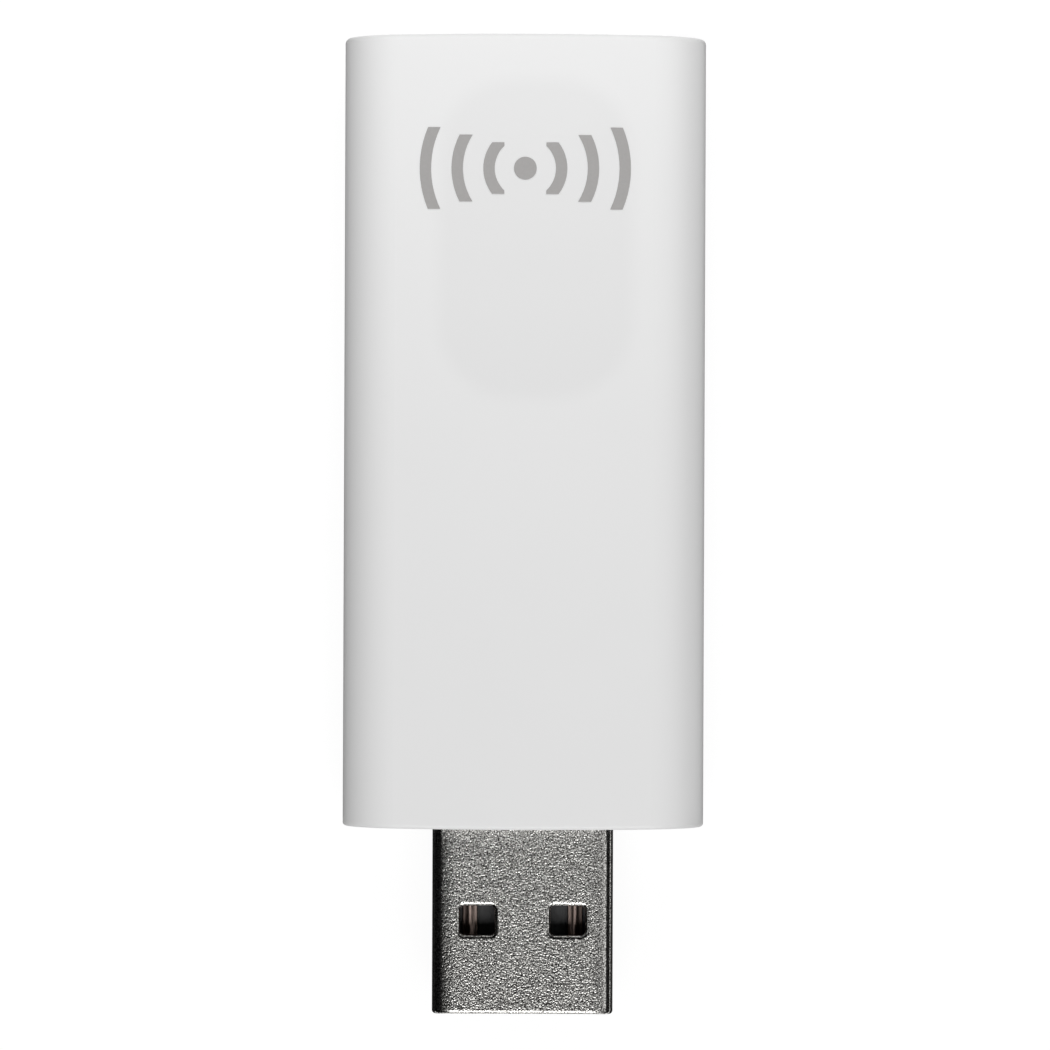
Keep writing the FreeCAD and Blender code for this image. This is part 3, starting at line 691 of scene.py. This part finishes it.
def two_ended(node, places, size, cap, body_finish):
    """A node's two-ended parts: bodies in their own finish, and tinned caps that stand proud of them."""
    wide, long, high = size
    low_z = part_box(node)[0].z
    centres = np.array([(x, y, low_z + high / 2) for x, y in places])
    body_size = (wide - 2 * CAP_PROUD, long - cap, high - 2 * CAP_PROUD)
    new_piece(node + "_bodies", blocks(centres, body_size, CAP_ROUND / 2), body_finish, node)
    ends = np.concatenate([centres + (0.0, side * (long - cap) / 2, 0.0) for side in (-1, 1)])
    new_piece(node + "_caps", blocks(ends, (wide, cap, high), CAP_ROUND), tinned, node)


# Barium titanate capacitors: fired tan brown, smooth.
tan_ceramic = fired_ceramic("tan_barium_titanate", "#9c7650", "#b08a62", 0.32, 0.46)
# Ferrite: a dark grey iron ceramic with a dry, slightly rough skin.
ferrite = fired_ceramic("grey_ferrite", "#2b2b2e", "#3a3a3e", 0.42, 0.6)
# Resistors: black glass over a film on white alumina.
resistor_glass = fired_ceramic("black_resistor_glass", "#141416", "#1e1e21", 0.14, 0.24)

low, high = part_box("storage_capacitor")
middle = (low + high) / 2
two_ended(
    "storage_capacitor",
    [(middle.x, middle.y)],
    (high.x - low.x, high.y - low.y, high.z - low.z),
    STORAGE_CAPACITOR_CAP,
    tan_ceramic,
)
low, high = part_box("ferrite_bead")
middle = (low + high) / 2
two_ended(
    "ferrite_bead",
    [(middle.x, middle.y)],
    (high.x - low.x, high.y - low.y, high.z - low.z),
    FERRITE_CAP,
    ferrite,
)

# The small parts stand in rows beside the chips that they serve, and before the
# antenna's fed leg.
bridge_low, bridge_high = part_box("usb_bridge_chip")
radio_low, radio_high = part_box("radio_chip")
coil_low, coil_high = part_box("antenna_coil")
bridge = (bridge_low + bridge_high) / 2
WIRE_RADIUS = 0.3 * MM
column_x = radio_high.x + PITCH - SMALL_PART[0] / 2
row_y = radio_low.y + SMALL_PART[1] / 2
beside_x = bridge_high.x + PART_GAP
behind_y = bridge_high.y + PART_GAP
fed_x = coil_high.x - WIRE_RADIUS
fed_y = coil_low.y - PART_GAP
capacitor_places = [(side * beside_x, bridge.y + step * PITCH) for side in (1, -1) for step in (-1, 0)]
capacitor_places += [(column_x, row_y + step * PITCH) for step in range(4)]
resistor_places = [(side * PITCH / 2, behind_y) for side in (1, -1)]
resistor_places += [(column_x + PITCH, row_y + step * PITCH) for step in range(3)]
coil_places = [(fed_x - step * PITCH, fed_y) for step in range(2)]
coil_places += [(column_x + 2 * PITCH, row_y + step * PITCH) for step in range(3)]
two_ended("ceramic_capacitors", capacitor_places, SMALL_PART, SMALL_CAP, tan_ceramic)
two_ended("chip_resistors", resistor_places, SMALL_PART, SMALL_CAP, resistor_glass)
two_ended("matching_coils", coil_places, SMALL_PART, SMALL_CAP, ferrite)

# Leadless chips
# The USB bridge, the memory and the radio: flat blocks sawn from a moulded sheet,
# with tinned pads along the foot of each side and a dimple at the first pin.

# The same resin as the leaded chips', with the pads' sawn ends, pale and bright,
# at half millimetre steps along the lowest fifth of a millimetre.
PAD_PITCH = 0.5 * MM
PAD_SHARE = 0.5
PAD_HEIGHT = 0.2 * MM
sawn = new_finish("sawn_resin_with_pads")
place = add(sawn, "TexCoord", {}).outputs["Object"]
skin = add(sawn, "TexNoise", {"Vector": place, "Scale": 1 / (0.05 * MM), "Detail": 3.0})
resin_colour = add(
    sawn,
    "Mix",
    {0: skin.outputs["Fac"], 6: linear("#1d1d1e"), 7: linear("#29292b")},
    data_type="RGBA",
)
sides = add(sawn, "SeparateXYZ", {"Vector": place})
facing = add(sawn, "SeparateXYZ", {"Vector": add(sawn, "NewGeometry", {}).outputs["Normal"]})
faces_x = add(sawn, "Math", {0: facing.outputs["X"]}, operation="ABSOLUTE")
faces_y = add(sawn, "Math", {0: facing.outputs["Y"]}, operation="ABSOLUTE")
along_x = add(sawn, "Math", {0: sides.outputs["X"], 1: faces_y.outputs[0]}, operation="MULTIPLY")
along_y = add(
    sawn,
    "Math",
    {0: sides.outputs["Y"], 1: faces_x.outputs[0], 2: along_x.outputs[0]},
    operation="MULTIPLY_ADD",
)
step = add(sawn, "Math", {0: along_y.outputs[0], 1: 1 / PAD_PITCH}, operation="MULTIPLY")
share = add(sawn, "Math", {0: step.outputs[0]}, operation="FRACT")
in_step = add(sawn, "Math", {0: share.outputs[0], 1: PAD_SHARE}, operation="LESS_THAN")
board_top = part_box("circuit_board")[1].z
low_down = add(sawn, "Math", {0: sides.outputs["Z"], 1: board_top + PAD_HEIGHT}, operation="LESS_THAN")
upright = add(sawn, "Math", {0: faces_x.outputs[0], 1: faces_y.outputs[0]}, operation="ADD")
on_side = add(
    sawn,
    "Math",
    {0: low_down.outputs[0], 1: upright.outputs[0]},
    operation="MULTIPLY",
    use_clamp=True,
)
pad = add(sawn, "Math", {0: in_step.outputs[0], 1: on_side.outputs[0]}, operation="MULTIPLY")
colour = add(
    sawn,
    "Mix",
    {0: pad.outputs[0], 6: resin_colour.outputs[2], 7: linear("#d4d1ca")},
    data_type="RGBA",
)
roughness = add(
    sawn,
    "MapRange",
    {"Value": skin.outputs["Fac"], "From Min": 0.3, "From Max": 0.7, "To Min": 0.42, "To Max": 0.6},
)
relief = add(sawn, "Bump", {"Height": skin.outputs["Fac"], "Strength": 0.6, "Distance": 0.006 * MM})
shader = add(
    sawn,
    "BsdfPrincipled",
    {
        "Base Color": colour.outputs[2],
        "Metallic": pad.outputs[0],
        "Roughness": roughness.outputs["Result"],
        "Normal": relief.outputs["Normal"],
        "IOR": 1.55,
    },
)
add(sawn, "OutputMaterial", {"Surface": shader.outputs["BSDF"]})
dress(sawn, "usb_bridge_chip", "memory_chip", "radio_chip")

# Radio crystal
# The crystal that times the radio: a ceramic tray with a thin metal lid welded
# over it.

# Alumina tray below, and from seven tenths of its height a bright nickel-iron lid.
LID_SHARE = 0.7
crystal_can = new_finish("welded_crystal_can")
place = add(crystal_can, "TexCoord", {}).outputs["Object"]
grain = add(crystal_can, "TexNoise", {"Vector": place, "Scale": 1 / (0.07 * MM), "Detail": 3.0})
sides = add(crystal_can, "SeparateXYZ", {"Vector": place})
low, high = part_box("radio_crystal")
lid_z = low.z + LID_SHARE * (high.z - low.z)
lid = add(crystal_can, "Math", {0: sides.outputs["Z"], 1: lid_z}, operation="GREATER_THAN")
tray_colour = add(
    crystal_can,
    "Mix",
    {0: grain.outputs["Fac"], 6: linear("#4b4642"), 7: linear("#5b5651")},
    data_type="RGBA",
)
lid_colour = add(
    crystal_can,
    "Mix",
    {0: grain.outputs["Fac"], 6: linear("#bab4a6"), 7: linear("#cfc9bb")},
    data_type="RGBA",
)
colour = add(
    crystal_can,
    "Mix",
    {0: lid.outputs[0], 6: tray_colour.outputs[2], 7: lid_colour.outputs[2]},
    data_type="RGBA",
)
roughness = add(
    crystal_can,
    "MapRange",
    {"Value": grain.outputs["Fac"], "From Min": 0.3, "From Max": 0.7, "To Min": 0.24, "To Max": 0.4},
)
relief = add(crystal_can, "Bump", {"Height": grain.outputs["Fac"], "Strength": 0.3, "Distance": 0.003 * MM})
shader = add(
    crystal_can,
    "BsdfPrincipled",
    {
        "Base Color": colour.outputs[2],
        "Metallic": lid.outputs[0],
        "Roughness": roughness.outputs["Result"],
        "Normal": relief.outputs["Normal"],
    },
)
add(crystal_can, "OutputMaterial", {"Surface": shader.outputs["BSDF"]})
dress(crystal_can, "radio_crystal")

# Antenna filter
# A block of white ceramic layers between the radio and the antenna, fired with
# its copper patterns inside.
glass_ceramic = fired_ceramic("white_glass_ceramic", "#d2cfc6", "#dedbd2", 0.4, 0.55)
dress(glass_ceramic, "antenna_filter")

# Screening can
# Over the radio: a frame of thin steel soldered to the board, and a lid with
# rows of vents pressed over it.

# Electrolytic tin plate: a pale, softly shining steel, rolled lengthwise, with
# long soft streaks and a few cloudy patches.
tin_plate = new_finish("rolled_tin_plate")
place = add(tin_plate, "TexCoord", {}).outputs["Object"]
rolled = add(tin_plate, "Mapping", {"Vector": place, "Scale": (1.0, 0.03, 1.0)})
streaks = add(
    tin_plate, "TexNoise", {"Vector": rolled.outputs["Vector"], "Scale": 1 / (0.08 * MM), "Detail": 3.0}
)
clouds = add(tin_plate, "TexNoise", {"Vector": place, "Scale": 1 / (2.5 * MM), "Detail": 2.0})
roughness = add(
    tin_plate,
    "MapRange",
    {"Value": clouds.outputs["Fac"], "From Min": 0.3, "From Max": 0.7, "To Min": 0.22, "To Max": 0.36},
)
colour = add(
    tin_plate,
    "Mix",
    {0: streaks.outputs["Fac"], 6: linear("#bdbcb8"), 7: linear("#d6d5d1")},
    data_type="RGBA",
)
relief = add(tin_plate, "Bump", {"Height": streaks.outputs["Fac"], "Strength": 0.4, "Distance": 0.002 * MM})
shader = add(
    tin_plate,
    "BsdfPrincipled",
    {
        "Base Color": colour.outputs[2],
        "Metallic": 1.0,
        "Roughness": roughness.outputs["Result"],
        "Normal": relief.outputs["Normal"],
    },
)
add(tin_plate, "OutputMaterial", {"Surface": shader.outputs["BSDF"]})
dress(tin_plate, "screening_frame", "screening_lid")

# Antenna coil
# Eight and a half turns of tinned copper wire, wound on a rod and soldered
# through the board by its straight legs.
dress(tinned, "antenna_coil")

# Casing
# Two shells that snap together at half the thickness, moulded in white ABS from
# a fine spark-eroded mould that leaves them satin.

# Satin moulded ABS: an even white with hardly any gloss. Its grain is 0.05 mm in
# the real one and is drawn at 0.09 mm, the finest that the render can show.
abs_white = new_finish("satin_moulded_abs")
place = add(abs_white, "TexCoord", {}).outputs["Object"]
grain = add(abs_white, "TexNoise", {"Vector": place, "Scale": 1 / (0.09 * MM), "Detail": 2.0})
cloud = add(abs_white, "TexNoise", {"Vector": place, "Scale": 1 / (9 * MM), "Detail": 2.0})
colour = add(
    abs_white,
    "Mix",
    {0: cloud.outputs["Fac"], 6: linear("#e9e9e9"), 7: linear("#ebebeb")},
    data_type="RGBA",
)
# A rounded zone towards the far end is painted a shade greyer,
# measured from its middle towards its edge.
ZONE_MIDDLE = (0.7 * MM, 18.9 * MM, 0.0)
ZONE_HALF = (6.4 * MM, 10.5 * MM, 1.0)
ZONE_CORNER = 5.0 * MM
ZONE_EDGE = 0.9 * MM
centred = add(abs_white, "VectorMath", {0: place, 1: ZONE_MIDDLE}, operation="SUBTRACT")
folded = add(abs_white, "VectorMath", {0: centred.outputs["Vector"]}, operation="ABSOLUTE")
core = tuple(half - ZONE_CORNER for half in ZONE_HALF)
past_core = add(abs_white, "VectorMath", {0: folded.outputs["Vector"], 1: core}, operation="SUBTRACT")
outside = add(
    abs_white, "VectorMath", {0: past_core.outputs["Vector"], 1: (0.0, 0.0, 0.0)}, operation="MAXIMUM"
)
reach = add(abs_white, "VectorMath", {0: outside.outputs["Vector"]}, operation="LENGTH")
zone = add(
    abs_white,
    "MapRange",
    {
        "Value": reach.outputs["Value"],
        "From Min": ZONE_CORNER - ZONE_EDGE,
        "From Max": ZONE_CORNER + ZONE_EDGE,
        "To Min": 0.96,
        "To Max": 1.0,
    },
    interpolation_type="SMOOTHSTEP",
)
# The greyer rounded zone is painted into the colour here.
shaded = add(
    abs_white,
    "Mix",
    {0: 1.0, 6: colour.outputs[2], 7: zone.outputs["Result"]},
    data_type="RGBA",
    blend_type="MULTIPLY",
)
relief = add(abs_white, "Bump", {"Height": grain.outputs["Fac"], "Strength": 0.3, "Distance": 0.003 * MM})
shader = add(
    abs_white,
    "BsdfPrincipled",
    {
        "Base Color": shaded.outputs[2],
        "Roughness": 0.45,
        "Normal": relief.outputs["Normal"],
        "IOR": 1.53,
    },
)
add(abs_white, "OutputMaterial", {"Surface": shader.outputs["BSDF"]})
dress(abs_white, "front_shell", "back_shell")

# Printed sign
# A dot between two sets of waves, the common sign for radio, pad printed on the
# front in one coat of grey.

# Pad printing ink: matt, with the faint mottle that the soft pad leaves.
ink = new_finish("grey_pad_print")
place = add(ink, "TexCoord", {}).outputs["Object"]
mottle = add(ink, "TexNoise", {"Vector": place, "Scale": 1 / (0.2 * MM), "Detail": 3.0})
colour = add(
    ink,
    "Mix",
    {0: mottle.outputs["Fac"], 6: linear("#a19f9e"), 7: linear("#a9a7a6")},
    data_type="RGBA",
)
relief = add(ink, "Bump", {"Height": mottle.outputs["Fac"], "Strength": 0.3, "Distance": 0.004 * MM})
shader = add(
    ink,
    "BsdfPrincipled",
    {
        "Base Color": colour.outputs[2],
        "Roughness": 0.6,
        "Normal": relief.outputs["Normal"],
        "IOR": 1.5,
    },
)
add(ink, "OutputMaterial", {"Surface": shader.outputs["BSDF"]})
dress(ink, "printed_sign")

# Floor
# A plain white sweep. Light Path makes it white to the camera, in gloss and in
# glass, and lets a soft shadow of the stick darken it a little.
FLOOR_HALF = 3.0
floor_mesh = bpy.data.meshes.new("floor")
corner_x, corner_y = np.meshgrid((-FLOOR_HALF, FLOOR_HALF), (-FLOOR_HALF, FLOOR_HALF))
corners = np.stack((corner_x, corner_y, np.zeros((2, 2))), axis=-1).reshape(-1, 3)
floor_mesh.from_pydata(corners.tolist(), [], [(0, 1, 3, 2)])
floor = bpy.data.objects.new("floor", floor_mesh)
bpy.context.scene.collection.objects.link(floor)

sweep = new_finish("white_paper_sweep")
matt = add(sweep, "BsdfDiffuse", {"Color": linear("#a6a6a5")})
seen_matt = add(sweep, "BsdfDiffuse", {"Color": (0.14, 0.14, 0.14, 1.0)})
glow = add(sweep, "Emission", {"Color": (1.0, 1.0, 1.0, 1.0), "Strength": 0.9})
seen = add(sweep, "AddShader", {0: seen_matt.outputs["BSDF"], 1: glow.outputs["Emission"]})
path = add(sweep, "LightPath", {})
gloss_or_glass = add(
    sweep,
    "Math",
    {0: path.outputs["Is Glossy Ray"], 1: path.outputs["Is Transmission Ray"]},
    operation="ADD",
)
white_to = add(
    sweep,
    "Math",
    {0: gloss_or_glass.outputs[0], 1: path.outputs["Is Camera Ray"]},
    operation="ADD",
    use_clamp=True,
)
mixed = add(sweep, "MixShader", {0: white_to.outputs[0], 1: matt.outputs["BSDF"], 2: seen.outputs["Shader"]})
add(sweep, "OutputMaterial", {"Surface": mixed.outputs["Shader"]})
floor_mesh.materials.append(sweep)

# Light
# A dim even dome, a broad soft box beyond the plug, two weak ones to its sides, and
# a low one by the far end that is kept out of gloss. Dark cards at the sides, at
# the foot and overhead give the stick its darker edges and the plug its contrast.
world = bpy.data.worlds.new("dome")
world.use_nodes = True
world.node_tree.nodes["Background"].inputs["Color"].default_value = (1.0, 1.0, 1.0, 1.0)
world.node_tree.nodes["Background"].inputs["Strength"].default_value = 0.24
bpy.context.scene.world = world


def soft_box(name, place, aim, size_x, size_y, watts):
    """A rectangular lamp at a place, facing the point that it is aimed at."""
    lamp = bpy.data.lights.new(name, "AREA")
    lamp.shape = "RECTANGLE"
    lamp.size = size_x
    lamp.size_y = size_y
    lamp.energy = watts
    box = bpy.data.objects.new(name, lamp)
    box.location = place
    box.rotation_euler = (box.location - Vector(aim)).to_track_quat("Z", "Y").to_euler()
    box.visible_camera = False
    bpy.context.scene.collection.objects.link(box)
    return box


soft_box("plug_side_soft_box", (0.01, -0.345, 0.39), (0.0, -0.027, 0.0), 0.33, 0.44, 1.7)
far_box = soft_box("far_side_soft_box", (0.0, 0.11, 0.07), (0.0, 0.0, 0.0), 0.14, 0.05, 0.085)
far_box.visible_glossy = False
soft_box("right_side_soft_box", (0.236, -0.02, 0.185), (0.0, -0.02, 0.005), 0.14, 0.24, 0.06)
soft_box("left_side_soft_box", (-0.236, -0.02, 0.185), (0.0, -0.02, 0.005), 0.14, 0.24, 0.06)


def dark_card(name, shade, first, second, near_y, end_y):
    """A card that only shows in gloss, between two points in X and Z, run along Y, in millimetres."""
    share, y = np.meshgrid((0.0, 1.0), (near_y, end_y))
    x = first[0] + share * (second[0] - first[0])
    z = first[1] + share * (second[1] - first[1])
    mesh = bpy.data.meshes.new(name)
    mesh.from_pydata((np.stack((x, y, z), axis=-1).reshape(-1, 3) * MM).tolist(), [], [(0, 1, 3, 2)])
    felt = new_finish(name + "_felt")
    matt = add(felt, "BsdfDiffuse", {"Color": linear(shade)})
    add(felt, "OutputMaterial", {"Surface": matt.outputs["BSDF"]})
    mesh.materials.append(felt)
    card = bpy.data.objects.new(name, mesh)
    card.visible_camera = False
    card.visible_diffuse = False
    card.visible_shadow = False
    card.visible_transmission = False
    bpy.context.scene.collection.objects.link(card)
    return card


dark_card("left_card", "#262626", (-16, 0), (-12.5, 24), -60, 40)
dark_card("right_card", "#404040", (16, 0.1), (16, 8.6), -60, -20)
dark_card("left_strip", "#262626", (-16, 0.1), (-5.6, 0.1), -36, -20.2)
dark_card("right_strip", "#404040", (5.6, 0.1), (13.9, 0.1), -36, -20.2)
dark_card("left_foot", "#0a0a0a", (-17, 0.1), (-11, 0.1), -20, 36)
dark_card("right_foot", "#0a0a0a", (11, 0.1), (17, 0.1), -20, 36)
dark_card("camera_card", "#000000", (-290, 400), (290, 400), -130, 380)

# Camera
# Straight above the stick, a pixel beside its middle and turned a fifth of a
# degree, with a long lens whose view is 70 mm wide at the stick's mid height.
CAMERA_HEIGHT = 450 * MM
CAMERA_SHIFT = 0.067 * MM
CAMERA_TURN = 0.22
VIEW_WIDTH = 70.0 * MM
camera = bpy.data.objects.new("camera", bpy.data.cameras.new("camera"))
camera.location = (CAMERA_SHIFT, 0.0, PLUG_LEVEL + CAMERA_HEIGHT)
camera.rotation_euler = (0.0, 0.0, math.radians(CAMERA_TURN))
camera.data.lens = camera.data.sensor_width * CAMERA_HEIGHT / VIEW_WIDTH
bpy.context.scene.collection.objects.link(camera)
bpy.context.scene.camera = camera
bpy.context.scene.view_settings.view_transform = "Standard"
